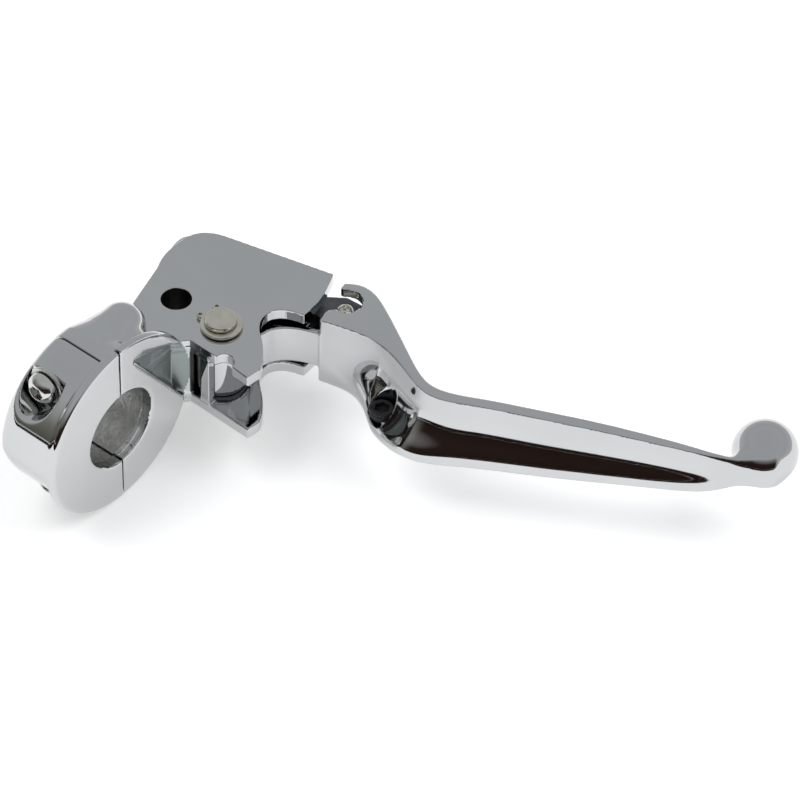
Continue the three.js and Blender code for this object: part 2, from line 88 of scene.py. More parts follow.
def block(x, y, z, low, high, r=0.3):
    q = [np.abs(v - (a + b) / 2) - (b - a) / 2 + r for v, a, b in zip((x, y, z), low, high)]
    outside = np.sqrt(sum(np.maximum(v, 0) ** 2 for v in q))
    return outside + np.minimum(np.maximum(np.maximum(q[0], q[1]), q[2]), 0) - r


def span(v, low, high):
    return np.abs(v - (low + high) / 2) - (high - low) / 2


def disc(u, v, centre, radius):
    return np.hypot(u - centre[0], v - centre[1]) - radius


def outline(u, v, points):
    """Distance in a plane to a closed outline, negative inside it."""
    nearest = np.inf
    inside = np.zeros(np.broadcast(u, v).shape, bool)
    for (a, b), (c, d) in zip(points, points[1:] + points[:1]):
        eu, ev = c - a, d - b
        t = np.clip(((u - a) * eu + (v - b) * ev) / (eu * eu + ev * ev), 0, 1)
        nearest = np.minimum(nearest, (u - a - eu * t) ** 2 + (v - b - ev * t) ** 2)
        crosses = (b > v) != (d > v)
        inside ^= crosses & (u < eu * (v - b) / (ev if ev else 1.0) + a)
    return np.sqrt(nearest) * np.where(inside, -1.0, 1.0)


def bend(start, control, end, count=10):
    """Points of a quadratic curve, without its first one."""
    points = []
    for i in range(1, count + 1):
        t = i / count
        points.append(tuple((1 - t) ** 2 * a + 2 * t * (1 - t) * b + t * t * c
                            for a, b, c in zip(start, control, end)))
    return points


def spline(stations):
    """A smooth curve through stations (x, y), as a function of x."""
    xs = np.array([s[0] for s in stations], float)
    ys = np.array([s[1] for s in stations], float)
    n = len(xs)
    h = np.diff(xs)
    matrix, right = np.eye(n), np.zeros(n)
    for i in range(1, n - 1):
        matrix[i, i - 1:i + 2] = h[i - 1], 2 * (h[i - 1] + h[i]), h[i]
        right[i] = 6 * ((ys[i + 1] - ys[i]) / h[i] - (ys[i] - ys[i - 1]) / h[i - 1])
    m = np.linalg.solve(matrix, right)

    def at(x):
        x = np.clip(x, xs[0], xs[-1])
        i = np.clip(np.searchsorted(xs, x) - 1, 0, n - 2)
        a, b = xs[i + 1] - x, x - xs[i]
        bow = (m[i] * a ** 3 + m[i + 1] * b ** 3) / (6 * h[i])
        return bow + (ys[i] / h[i] - m[i] * h[i] / 6) * a + (ys[i + 1] / h[i] - m[i + 1] * h[i] / 6) * b

    return at


# ---- meshing ----
def lattice(field, low, high, cell):
    """Corners and quads round the zero surface of a field, one corner to each cell it crosses."""
    axes = [np.arange(a - 1.5 * cell, b + 2.5 * cell, cell) for a, b in zip(low, high)]
    shape = tuple(len(a) for a in axes)
    values = field(axes[0][:, None, None], axes[1][None, :, None], axes[2][None, None, :])
    values = np.ascontiguousarray(np.broadcast_to(values, shape))
    inside = values < 0
    offsets = np.array([(i, j, k) for i in (0, 1) for j in (0, 1) for k in (0, 1)])
    parts = [inside[i:shape[0] - 1 + i, j:shape[1] - 1 + j, k:shape[2] - 1 + k] for i, j, k in offsets]
    active = np.logical_or.reduce(parts) & ~np.logical_and.reduce(parts)
    cells = np.argwhere(active)
    index = np.full(active.shape, -1)
    index[active] = np.arange(len(cells))
    total, hits = np.zeros((len(cells), 3)), np.zeros(len(cells))
    units = np.eye(3, dtype=int)
    for unit in units:
        for offset in offsets[(offsets @ unit) == 0]:
            a = cells + offset
            va, vb = values[tuple(a.T)], values[tuple((a + unit).T)]
            crosses = (va < 0) != (vb < 0)
            t = np.where(crosses, va / np.where(crosses, va - vb, 1), 0)
            total += np.where(crosses[:, None], a + t[:, None] * unit, 0)
            hits += crosses
    corners = np.array([a[0] for a in axes]) + cell * total / hits[:, None]
    quads = []
    for d in range(3):
        u, v = units[(d + 1) % 3], units[(d + 2) % 3]
        size = np.array(shape) - units[d]
        near = inside[tuple(slice(0, s) for s in size)]
        far = inside[tuple(slice(k, k + s) for k, s in zip(units[d], size))]
        edges = np.argwhere(near != far)
        edges = edges[(edges @ u > 0) & (edges @ v > 0)]
        ring = np.stack([index[tuple((edges - o).T)] for o in (0 * u, u, u + v, v)], 1)
        outward = near[tuple(edges.T)]
        quads.append(np.where(outward[:, None], ring, ring[:, ::-1]))
    return corners, np.concatenate(quads)


def slope(field, p, step):
    g = np.stack([
        field(p[:, 0] + step, p[:, 1], p[:, 2]) - field(p[:, 0] - step, p[:, 1], p[:, 2]),
        field(p[:, 0], p[:, 1] + step, p[:, 2]) - field(p[:, 0], p[:, 1] - step, p[:, 2]),
        field(p[:, 0], p[:, 1], p[:, 2] + step) - field(p[:, 0], p[:, 1], p[:, 2] - step),
    ], 1)
    return g / (2 * step)


def piece(name, field, low, high, cell, body, finishes, replaces=(), region=None):
    """A named piece whose surface is the field's zero, shaded with the field's own normals."""
    corners, quads = lattice(field, low, high, cell)
    for _ in range(3):
        g = slope(field, corners, 0.05 * cell)
        size = np.maximum(np.sum(g * g, 1), 0.05)
        step = field(corners[:, 0], corners[:, 1], corners[:, 2]) / size
        step = np.clip(step, -0.7 * cell, 0.7 * cell)
        corners = corners - g * step[:, None]
    mesh = bpy.data.meshes.new(name)
    mesh.from_pydata((corners * MM).tolist(), [], quads.tolist())
    mesh.update()
    for finish in finishes:
        mesh.materials.append(finish)
    if region is not None:
        middle = corners[quads].mean(1)
        choice = region(middle[:, 0], middle[:, 1], middle[:, 2]).astype(np.int32)
        mesh.polygons.foreach_set("material_index", choice)
    mesh.polygons.foreach_set("use_smooth", np.ones(len(quads), bool))
    normals = slope(field, corners, 0.12 * cell)
    normals /= np.maximum(np.linalg.norm(normals, axis=1), 1e-9)[:, None]
    mesh.normals_split_custom_set_from_vertices(normals.tolist())
    obj = bpy.data.objects.new(name, mesh)
    bpy.context.scene.collection.objects.link(obj)
    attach(obj, body)
    if replaces:
        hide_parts(*replaces)


# ---- materials ----
def metal(name, color, roughness, tint=0.04, blotch=35.0, scratch=0.05, bump=0.02, grain=(900, 60, 60)):
    """Plated or bare metal: uneven tint, fine scratches in its roughness, a faint ripple."""
    material = bpy.data.materials.new(name)
    material.use_nodes = True
    nodes, links = material.node_tree.nodes, material.node_tree.links
    shader = nodes["Principled BSDF"]
    shader.inputs["Metallic"].default_value = 1.0
    place = nodes.new("ShaderNodeTexCoord")
    patches = nodes.new("ShaderNodeTexNoise")
    patches.inputs["Scale"].default_value = blotch
    patches.inputs["Detail"].default_value = 3.0
    links.new(place.outputs["Object"], patches.inputs["Vector"])
    shade = nodes.new("ShaderNodeValToRGB")
    shade.color_ramp.elements[0].position = 0.3
    shade.color_ramp.elements[1].position = 0.7
    shade.color_ramp.elements[0].color = [max(c * (1 - tint), 0) for c in color] + [1]
    shade.color_ramp.elements[1].color = [min(c * (1 + tint), 1) for c in color] + [1]
    links.new(patches.outputs["Fac"], shade.inputs["Fac"])
    links.new(shade.outputs["Color"], shader.inputs["Base Color"])
    stretch = nodes.new("ShaderNodeMapping")
    stretch.inputs["Scale"].default_value = grain
    links.new(place.outputs["Object"], stretch.inputs["Vector"])
    marks = nodes.new("ShaderNodeTexNoise")
    marks.inputs["Scale"].default_value = 4.0
    marks.inputs["Detail"].default_value = 5.0
    links.new(stretch.outputs["Vector"], marks.inputs["Vector"])
    spread = nodes.new("ShaderNodeMapRange")
    spread.inputs["From Min"].default_value = 0.35
    spread.inputs["From Max"].default_value = 0.75
    spread.inputs["To Min"].default_value = roughness
    spread.inputs["To Max"].default_value = roughness + scratch
    links.new(marks.outputs["Fac"], spread.inputs["Value"])
    links.new(spread.outputs["Result"], shader.inputs["Roughness"])
    relief = nodes.new("ShaderNodeBump")
    relief.inputs["Strength"].default_value = bump
    relief.inputs["Distance"].default_value = 0.0003
    links.new(marks.outputs["Fac"], relief.inputs["Height"])
    links.new(relief.outputs["Normal"], shader.inputs["Normal"])
    return material


CHROME = metal("chrome_plate", (0.565, 0.575, 0.580), 0.035, tint=0.03, scratch=0.05, bump=0.010)
# darker, duller chrome: a satin finish with painted shade in the clamp's face pocket, and painted shade on
# the lever's inner walls
SATIN_AND_SHADE_CHROME = metal("satin_chrome_and_shade", (0.30, 0.33, 0.33), 0.34, tint=0.05, blotch=60, scratch=0.10, bump=0.05,
               grain=(400, 400, 400))
# near-black metal: painted shade inside the mirror hole and the switch slot between the plates
PAINTED_HOLE_SHADE = metal("painted_hole_shade", (0.11, 0.115, 0.105), 0.35, tint=0.2, blotch=120, scratch=0.2, bump=0.15,
             grain=(400, 400, 400))
CAST = metal("cast_bore", (0.48, 0.48, 0.46), 0.34, tint=0.12, blotch=380, scratch=0.25, bump=0.6,
             grain=(260, 260, 260))
NICKEL = metal("bright_nickel", (0.62, 0.60, 0.53), 0.10, tint=0.08, blotch=260, scratch=0.14, bump=0.05,
               grain=(600, 600, 80))
SCREW_CHROME = metal("screw_chrome", (0.62, 0.62, 0.60), 0.08, tint=0.08, blotch=220, scratch=0.10,
                     bump=0.04, grain=(500, 100, 500))
STEEL = metal("zinc_steel", (0.55, 0.55, 0.54), 0.24, tint=0.12, blotch=300, scratch=0.2, bump=0.10,
              grain=(700, 700, 120))
DARK_STEEL = metal("dark_steel", (0.16, 0.17, 0.18), 0.34, tint=0.2, blotch=120, scratch=0.2, bump=0.15,
                   grain=(500, 90, 300))
BRONZE = metal("bearing_bronze", (0.55, 0.38, 0.18), 0.3, tint=0.15, blotch=200, scratch=0.2, bump=0.1,
               grain=(90, 90, 900))
BLACK = metal("black_oxide", (0.030, 0.030, 0.033), 0.32, tint=0.3, blotch=400, scratch=0.25, bump=0.12,
              grain=(500, 500, 500))
BLACK.node_tree.nodes["Principled BSDF"].inputs["Metallic"].default_value = 0.6


# ---- clamp ----
def clamp_drum(x, y, z):
    """The clamp's outside: a body with a rounded inboard edge behind a thin outboard rim."""
    r = np.hypot(y, z - CLAMP_Z)
    rearward = -np.minimum(y, 0) / np.maximum(r, 1)
    downward = -np.minimum(z - CLAMP_Z, 0) / np.maximum(r, 1)
    forward = np.maximum(y, 0) / np.maximum(r, 1)
    bulk = 27.3 + 2.2 * rearward ** 2 - 6.5 * rearward * downward - 1.6 * np.minimum(4 * forward, 1)
    body = soft_max(soft_max(r - bulk, -11 - x, 7.0), x - 8.6, 0.5)
    rim = soft_max(soft_max(r - 29, x - 11, 1.6), 8.2 - x, 1.2)
    return soft_min(body, rim, 0.5)


def seat_block(x, z, margin):
    return np.maximum(x - 8.4 - margin, 16.5 - margin - np.abs(z - CLAMP_Z))


def bar_bore(x, y, z):
    r = np.hypot(y, z)
    mouth = r - BAR_RADIUS - np.clip(np.abs(x) - 10.4, 0, 0.8)
    deep = np.maximum(r - BAR_RADIUS - 0.6, np.abs(x) - 7)
    return np.minimum(mouth, deep)


def clamp_cap(x, y, z):
    keep = -np.minimum(-0.3 - y, np.maximum(-4.7 - y, seat_block(x, z, 0.3)))
    body = soft_max(clamp_drum(x, y, z), keep, 0.5)
    body = cut(body, bar_bore(x, y, z), 0.5)
    for side in (1, -1):
        r = np.hypot(x - SCREW_X, z - SCREW_Z[side])
        pocket = np.maximum(r - POCKET_RADIUS, y - POCKET_FLOOR[side])
        body = cut(body, pocket, 0.9)
        body = cut(body, r - SCREW_PASSAGE, 0.3)
    return body


def face_pocket(x, y, z):
    points = [(31, -14), (6, 22.4)] + bend((6, 22.4), (17, 20.6), (25.5, 14)) + [(31, 9)]
    floor = 8.6 - 0.14 * (y - 6)
    return np.maximum(outline(y, z, points), floor - x)


# ---- perch ----
def plate_points(relief):
    points = [(-10.5, 18), (6.4, 18), (6.8, 25.5), (10.4, 29.6)]
    if relief:
        turn = [math.pi - math.pi * i / 12 for i in range(13)]
        points += [(23.1 + 3 * math.cos(a), 29.5 + 3 * math.sin(a)) for a in turn]
    points += [(32.4, 29), (33, 33.5)]
    points += bend((33, 33.5), (31, 39), (22.8, 45.4))
    points += bend((22.8, 45.4), (19.4, 48.6), (19.8, 52.4))
    points += bend((19.8, 52.4), (21, 57), (28.2, 58.3))
    points += bend((28.2, 58.3), (28.4, 67), (23.8, 76.7))
    points += [(-9.3, 68.4)]
    points += bend((-9.3, 68.4), (-17.6, 66.4), (-18.6, 59.5))
    points += bend((-18.6, 59.5), (-19.4, 51), (-16.5, 46))
    points += [(-10.5, 25)]
    return points


def bracket(x, y, z):
    body = clamp_drum(x, y, z)
    body = cut(body, face_pocket(x, y, z), 0.6)
    plates = np.minimum(
        soft_max(outline(x, y, plate_points(True)), span(z, PLATE_INNER, PLATE_OUTER), 0.5),
        soft_max(outline(x, y, plate_points(False)), span(z, -PLATE_OUTER, -PLATE_INNER), 0.5))
    rear = [(-10.5, 15), (6.4, 15), (6.8, 25.5), (10.4, 29.5), (17.5, 29.5), (17.5, 33), (-11, 33)]
    wall = [(-10.5, 30), (-16.5, 46), (-18.6, 59.5), (-14, 66), (-5, 69.4), (8, 72.6),
            (8, 69.4), (-4, 66.3), (-11.8, 63.4), (-15.2, 58.6), (-13.4, 47), (-7.5, 30)]
    column = np.minimum(disc(x, y, MIRROR_HOLE, 6.6), np.minimum(outline(x, y, rear), outline(x, y, wall)))
    walls = soft_max(column, np.abs(z) - 10, 0.3)
    inlet = soft_max(np.hypot(y - CABLE_Y, z) - 7.4, span(x, -23, -14), 0.8)
    walls = soft_min(walls, inlet, 1.2)
    casting = soft_min(plates, walls, 0.8)
    for side in (1, -1):
        past = np.maximum(y - 14.7, 0)
        hump = np.sqrt((x - SCREW_X) ** 2 + (z - HUMP_Z[side]) ** 2 + past ** 2) - 6.9
        body = soft_min(body, np.maximum(hump, -1 - y), 2.2)
    # the humps blend into the clamp but never fill the recess or the face
    body = soft_max(body, x - 11, 0.8)
    body = cut(body, face_pocket(x, y, z), 0.6)
    body = soft_min(body, casting, 1.6)
    keep = np.minimum(0.3 - y, np.maximum(-4.4 - y, seat_block(x, z, 0.0)))
    body = soft_max(body, keep, 0.5)
    body = cut(body, bar_bore(x, y, z), 0.5)
    slot = block(x, y, z, (10.6, 26, -PLATE_INNER), (13.9, 34, PLATE_INNER - 0.6), 0.3)
    body = cut(body, slot, 0.4)
    hub = np.maximum(disc(x, y, PIVOT, 8.9), np.abs(z) - PLATE_INNER)
    body = cut(body, hub, 0.3)
    body = cut(body, disc(x, y, PIVOT, 4.95), 0.3)
    body = cut(body, np.maximum(disc(x, y, PIVOT, 6.9), z + PLATE_OUTER - 2.4), 0.3)
    body = cut(body, disc(x, y, MIRROR_HOLE, 4.35), 0.6)
    cable = np.hypot(y - CABLE_Y, z)
    body = cut(body, np.maximum(cable - 4.1, x + 14), 0.5)
    body = cut(body, np.maximum(cable - 3.3, x + 8), 0.3)
    for side in (1, -1):
        passage = np.hypot(x - SCREW_X, z - SCREW_Z[side]) - SCREW_PASSAGE
        passage = np.maximum(passage, y - 15.3)
        body = cut(body, passage, 0.2)
    return body


# Material index per face: 0 chrome, 1 the face pocket's darker, duller chrome (satin finish and painted
# shade), 2 the bare cast bore, 3 painted shade in the mirror hole and the switch slot
def clamp_finish_and_shade(x, y, z):
    deep = (np.hypot(y, z) < 13.6) & (np.abs(x) < 6.9)
    # the face pocket's floor gets the darker, duller chrome: partly a satin finish, partly painted shade of
    # the recess
    recess = (x < 10.4) & (x > 4) & (y > 6) & (face_pocket(x, y, z) < 0.25)
    recess &= np.hypot(y, z - CLAMP_Z) < 29.5
    slot = (np.abs(x - 12.25) < 1.9) & (y > 26) & (y < 34.3) & (np.abs(z) < 8.2)
    # painted shade: the mirror hole's inside and the switch slot get the near-black material
    painted_hole_mask = ((disc(x, y, MIRROR_HOLE, 4.5) < 0) & (z < 12.2)) | slot
    return np.where(painted_hole_mask, 3, np.where(deep, 2, np.where(recess, 1, 0)))


# ---- lever ----
REAR = spline([(32.6, 59.8), (41, 62.3), (50.8, 63.6), (59.5, 62), (66.5, 59.5), (72.5, 57.9),
               (78.2, 58.8), (86, 62.9), (100, 70.3), (116, 78.7), (132, 87.0), (143.2, 92.8),
               (150, 97.0), (156, 101.6), (160, 104.8), (163, 109.5)])
FORWARD = spline([(28.2, 76), (32.1, 78.4), (35.7, 78.8), (38.6, 78.2), (43.7, 75.9), (51.4, 71.6),
                  (61, 66), (67.4, 62.6), (72.7, 61.3), (76.8, 62), (86, 66.6), (100, 74.0),
                  (116, 82.3), (130.3, 89.2), (138, 92.7), (145, 96), (150, 99.5), (160, 108)])
HALF_HEIGHT = spline([(32, 12.3), (60, 12.3), (72, 11.8), (85, 11.2), (100, 10.5), (115, 9.6),
                      (132, 8.2), (143, 7.2), (157, 5.4)])
REAR_BULGE = spline([(32, 0.3), (41, 1.8), (47, 4.0), (53, 7.2), (59, 9.1), (66, 9.0), (72, 7.8), (78, 6.8),
                     (88, 6.0), (100, 5.4), (112, 4.9), (124, 4.3), (137, 3.5), (143, 3.0), (150, 2.2),
                     (157, 1.2)])
FORWARD_BULGE = spline([(32, 0), (51, 0.5), (60, 1.5), (67, 2.4), (77, 3.4), (98, 3.7), (122, 3.4),
                        (141, 2.5), (157, 1.5)])
FLARE = spline([(-1, 0.35), (-0.92, 0.74), (-0.8, 0.96), (-0.68, 1), (-0.5, 0.9), (-0.25, 0.62), (0, 0.34),
                (0.2, 0.17), (0.45, 0.04), (0.7, 0), (1, 0)])


def steepness(curve, x):
    return np.sqrt(1 + (curve(x + 0.5) - curve(x - 0.5)) ** 2)


def lever_blade(x, y, z):
    half = HALF_HEIGHT(x)
    height = np.clip(z / half, -1, 1)
    # round the reach screw's hole the flare starts lower down
    lower = 0.2 * np.clip((x - 52) / 5, 0, 1) * (1 - np.clip((x - 58) / 14, 0, 1))
    rear = (REAR(x) - REAR_BULGE(x) * FLARE(np.clip(height + lower, -1, 1)) - y) / steepness(REAR, x)
    bulge = FORWARD_BULGE(x) * np.cos(math.pi / 2 * height)
    forward = (y - FORWARD(x) - bulge) / steepness(FORWARD, x)
    ending = np.clip((x - 140) / 16, 0, 1)
    body = soft_max(soft_max(rear, forward, 0.8), np.abs(z) - half, 0.5 + 8 * ending * ending)
    shoulder = -((x - 32.6) * 16.2 + (y - 59.8) * 4.4) / 16.8
    body = soft_max(body, shoulder, 0.5)
    tip = (x - 153.5) * 0.88 + (y - 111.3) * 0.47 - 3
    body = soft_max(body, tip, 1.0)
    ball = np.sqrt((x - BALL[0]) ** 2 + (y - BALL[1]) ** 2 + z ** 2) - BALL_RADIUS
    return soft_min(body, ball, 5.0)


def lever(x, y, z):
    body = lever_blade(x, y, z)
    neck = [(PIVOT[0] + HUB_RADIUS, PIVOT[1])] + bend((21.5, 39.6), (19.6, 45), (20.4, 49))
    neck += bend((20.4, 49), (21.2, 56.4), (33, 59.9)) + [(34.4, 63.4)]
    neck += bend((34.4, 63.4), (24, 61), (17, 57)) + bend((17, 57), (9, 51), (4.7, 39.6))
    web = np.minimum(outline(x, y, neck), disc(x, y, PIVOT, HUB_RADIUS))
    body = soft_min(body, soft_max(web, np.abs(z) - 6.7, 0.5), 0.5)
    room = [(10, 28), (10, 39.6), (17.4, 43), (17.9, 50)] + bend((17.9, 50), (19, 57.6), (34, 62.4))
    room += [(34, 72), (-2, 60), (-2, 28)]
    arm = np.maximum(np.minimum(outline(x, y, room), disc(x, y, PIVOT, 7.15)), np.abs(z) - 3.5)
    body = cut(body, arm, 0.4)
    fork = [(24, 62), (31, 62.2), (38, 63.4), (45, 64), (46, 69), (43.5, 74), (37, 82), (18, 86)]
    body = cut(body, np.maximum(outline(x, y, fork), np.abs(z) - 9), 0.4)
    channel = outline(x, y, [(19, 66.4), (33.4, 66.4), (33.6, 74), (19, 73.2)])
    notch = outline(x, y, [(28, 60), (31.2, 61), (31.6, 64), (33.4, 66.8), (28, 67)])
    access = np.minimum(np.minimum(disc(x, y, FLANGE_HOLE, 4.6), channel), notch)
    body = cut(body, np.maximum(access, -z), 0.3)
    body = cut(body, disc(x, y, PIVOT, 5.95), 0.3)
    tail = [(42, 64.7), (54.3, 57.7), (58.4, 57.3), (58.6, 62.5), (45, 71)]
    body = cut(body, np.maximum(outline(x, y, tail), span(z, -9, -6.7)), 0.3)
    hole = disc(x, y, REACH, 4.0)
    hole = np.maximum(np.maximum(hole, (hole - 8.3 - z) * 0.7), -11.8 - z)  # its end is a drill's cone
    return cut(body, hole, 0.4)


def lever_shade_region(x, y, z):
    """Painted shade: the walls that the arm moves between get the darker, duller chrome."""
    return np.where((lever_blade(x, y, z) < -0.5) & (np.abs(z) < 9.3) & (x < 48) & (x > 20), 1, 0)


# ---- small pieces ----
def hexagon(u, v, across):
    a, b = np.abs(u), np.abs(v)
    return np.maximum(a * COS_30 + b * 0.5, b) - across / 2


def clamp_screw(side):
    seat = POCKET_FLOOR[side] - 1.8

    def field(x, y, z):
        u, v = x - SCREW_X, z - SCREW_Z[side]
        r = np.hypot(u, v)
        dome = np.sqrt(u * u + v * v + (y - seat - 1.0) ** 2) - 5.4
        top = soft_max(dome, seat - HEAD_HEIGHT - y, 0.8)
        head = soft_max(soft_max(r - HEAD_RADIUS, y - seat, 0.4), top, 0.6)
        shank = soft_max(r - SHANK_RADIUS, y - 15, 0.6)
        shank = soft_max(shank, seat - 1 - y, 0.3)
        socket = np.maximum(hexagon(u, v, KEY_SIZE), y - seat + HEAD_HEIGHT - 2.4)
        return cut(soft_min(head, shank, 0.3), socket, 0.35)

    return field


def clamp_washer(side):
    outer = POCKET_FLOOR[side] - 0.3

    def field(x, y, z):
        r = np.hypot(x - SCREW_X, z - SCREW_Z[side])
        ring = soft_max(r - 5.8, span(y, outer - 1.2, outer), 0.5)
        return cut(ring, r - SCREW_PASSAGE, 0.3)

    return field


def pivot_pin(x, y, z):
    r = np.hypot(x - PIVOT[0], y - PIVOT[1])
    shaft = soft_max(r - 4.75, span(z, -12.3, 15.9), 1.3)
    groove = np.maximum(4.1 - r, span(z, 12.75, 14.25))
    shaft = cut(shaft, groove, 0.2)
    head = soft_max(r - 6.6, span(z, -12.3, -10.5), 0.6)
    return soft_min(shaft, head, 0.3)


def retaining_ring(x, y, z):
    u, v = x - PIVOT[0], y - PIVOT[1]
    direction = 2.9
    along = u * math.cos(direction) + v * math.sin(direction)
    across = v * math.cos(direction) - u * math.sin(direction)
    r = np.hypot(u, v)
    width = 1.75 - 0.45 * along / np.maximum(r, 1)
    ring = np.abs(r - 4.35 - width / 2) - width / 2
    gap = np.maximum(np.abs(across) - 1.9, -along)
    ring = cut(ring, gap, 0.3)
    lug = np.hypot(along - 5.9, np.abs(across) - 2.75) - 1.2
    ring = soft_min(ring, np.maximum(lug, 4.35 - r), 0.5)
    ring = cut(ring, np.hypot(along - 6.0, np.abs(across) - 2.85) - 0.5, 0.2)
    return soft_max(ring, span(z, 12.95, 14.05), 0.4)


def anchor_screw(x, y, z):
    u, v = x - ANCHOR[0], y - ANCHOR[1]
    r = np.hypot(u, v)
    dome = np.sqrt(u * u + v * v + (z - 5.9) ** 2) - 2.95
    head = soft_max(soft_max(r - 2.8, 7.2 - z, 0.2), dome, 0.6)
    shank = soft_max(r - 1.5, span(z, -8.9, 7.7), 0.5)
    turn = 0.5
    a = np.abs(u * math.cos(turn) + v * math.sin(turn))
    b = np.abs(v * math.cos(turn) - u * math.sin(turn))
    cross = np.minimum(np.maximum(a - 1.55, b - 0.36), np.maximum(b - 1.55, a - 0.36))
    cross = np.maximum(cross, 8.05 + 0.45 * r - z)
    return cut(soft_min(head, shank, 0.2), cross, 0.15)


def reach_screw(x, y, z):
    u, v = x - REACH[0], y - REACH[1]
    r = np.hypot(u, v)
    ripple = 0.14 * np.cos(2 * math.pi * (z / 1.25) - np.arctan2(v, u))
    thread = r - 3.52 - ripple
    body = soft_max(soft_max(thread, r - 3.7, 0.1), r - 3.7 - (z + 6.4), 0.2)
    body = soft_max(body, span(z, -9.2, -4.0), 0.3)
    body = soft_max(body, (r - 3.25 + (z + 4.0)) * 0.7, 0.2)
    socket = np.maximum(hexagon(u, v, KEY_SIZE), -5.8 - z)
    return cut(body, socket, 0.25)


# ---- pieces ----
piece("clamp_cap_casting", clamp_cap, (-11, -29.7, -28), (11, 0, 31), 0.6, "perch",
      [CHROME, SATIN_AND_SHADE_CHROME, CAST, PAINTED_HOLE_SHADE], ["clamp_cap"], clamp_finish_and_shade)
piece("perch_casting", bracket, (-23.2, -5, -28), (33.4, 77, 31), 0.6, "perch",
      [CHROME, SATIN_AND_SHADE_CHROME, CAST, PAINTED_HOLE_SHADE], ["bracket"], clamp_finish_and_shade)
piece("lever_casting", lever, (4.5, 31, -12.4), (163.4, 121, 12.4), 0.6, "lever",
      [CHROME, SATIN_AND_SHADE_CHROME], ["lever_body"], lever_shade_region)
for word, side in (("upper", 1), ("lower", -1)):
    seat_y, middle_z = POCKET_FLOOR[side], SCREW_Z[side]
    piece(word + "_clamp_screw_domed", clamp_screw(side), (-6.9, seat_y - 6.1, middle_z - 4.9),
          (2.9, 15.2, middle_z + 4.9), 0.25, "perch", [SCREW_CHROME], [word + "_clamp_screw"])
    piece(word + "_clamp_washer_round", clamp_washer(side), (-7.9, seat_y - 1.6, middle_z - 5.9),
          (3.9, seat_y, middle_z + 5.9), 0.25, "perch", [STEEL], [word + "_clamp_washer"])
piece("pivot_pin_turned", pivot_pin, (6.3, 32.8, -12.5), (19.9, 46.4, 16.1), 0.28, "perch",
      [NICKEL], ["pivot_pin"])
piece("retaining_ring_eyed", retaining_ring, (5.6, 32.8, 12.9), (19.8, 46.5, 14.1), 0.16, "perch",
      [NICKEL], ["pivot_retaining_ring"])
piece("anchor_screw_crossed", anchor_screw, (29.6, 68.4, -9), (35.6, 74.4, 8.9), 0.16, "arm",
      [NICKEL], ["anchor_screw"])
piece("reach_screw_threaded", reach_screw, (54.6, 53.5, -9.3), (62.2, 61.1, -3.9), 0.16, "reach_screw",
      [BLACK], ["reach_screw"])

KEPT = {
    "upper_lever_bush": BRONZE, "lower_lever_bush": BRONZE, "arm_bush": BRONZE,
    "thrust_washer": STEEL, "anti_rattle_washer": DARK_STEEL, "pivot_arm": DARK_STEEL,
    "anchor_sleeve": STEEL, "anchor_nut": STEEL,
}
for node, finish in KEPT.items():
    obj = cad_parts[node]
    obj.data.materials.clear()
    obj.data.materials.append(finish)
    bevel = obj.modifiers.new("edges", "BEVEL")
    bevel.width = 0.00018
    bevel.segments = 2
    bevel.limit_method = "ANGLE"
    bevel.angle_limit = math.radians(40)
    bevel.harden_normals = False


# ---- stage ----
def card(name, centre, size, turn, color, strength=None, unseen=True):
    """A flat sheet of the studio: the floor, or a card that the chrome reflects."""
    mesh = bpy.data.meshes.new(name)
    w, h = size[0] / 2, size[1] / 2
    mesh.from_pydata([(-w, -h, 0), (w, -h, 0), (w, h, 0), (-w, h, 0)], [], [(0, 1, 2, 3)])
    obj = bpy.data.objects.new(name, mesh)
    bpy.context.scene.collection.objects.link(obj)
    obj.location = centre
    obj.rotation_euler = turn
    material = bpy.data.materials.new(name)
    material.use_nodes = True
    shader = material.node_tree.nodes["Principled BSDF"]
    shader.inputs["Base Color"].default_value = (*color, 1)
    shader.inputs["Roughness"].default_value = 0.9
    shader.inputs["Specular IOR Level"].default_value = 0.0
    if strength is not None:
        shader.inputs["Emission Color"].default_value = (*color, 1)
        shader.inputs["Emission Strength"].default_value = strength
    mesh.materials.append(material)
    if unseen:
        obj.visible_camera = False
        obj.visible_shadow = False
        obj.visible_diffuse = False


def light(name, place, target, size, power):
    data = bpy.data.lights.new(name, "AREA")
    data.shape = "RECTANGLE"
    data.size, data.size_y = size
    data.energy = power
    obj = bpy.data.objects.new(name, data)
    bpy.context.scene.collection.objects.link(obj)
    obj.location = place
    obj.rotation_euler = (Vector(target) - Vector(place)).to_track_quat("-Z", "Y").to_euler()
    obj.visible_glossy = False


card("floor", (0.08, 0.05, -0.0285), (8, 8), (0, 0, 0), (0.88, 0.88, 0.88), 0.34, unseen=False)
card("dark_flag", (0.93, -1.44, -0.027), (2.6, 2.9), (0, 0, math.radians(30)), (0.020, 0.011, 0.009))
light("key", (-0.5, -0.5, 1.3), (0.06, 0.04, 0), (0.9, 0.9), 10)
light("fill", (0.9, 0.6, 1.2), (0.06, 0.04, 0), (1.0, 0.8), 8)

world = bpy.data.worlds.new("studio")
world.use_nodes = True
bpy.context.scene.world = world
tree = world.node_tree
background = tree.nodes["Background"]
direction = tree.nodes.new("ShaderNodeTexCoord")
parts = tree.nodes.new("ShaderNodeSeparateXYZ")
tree.links.new(direction.outputs["Generated"], parts.inputs["Vector"])


def ramp(stops):
    """Colours of the room against height: -1 straight down, 0 the horizon, 1 straight up."""
    node = tree.nodes.new("ShaderNodeValToRGB")
    elements = node.color_ramp.elements
    while len(elements) < len(stops):
        elements.new(0.5)
    for element, (height, color) in zip(elements, stops):
        element.position = (height + 1) / 2
        element.color = (*color, 1)
    return node


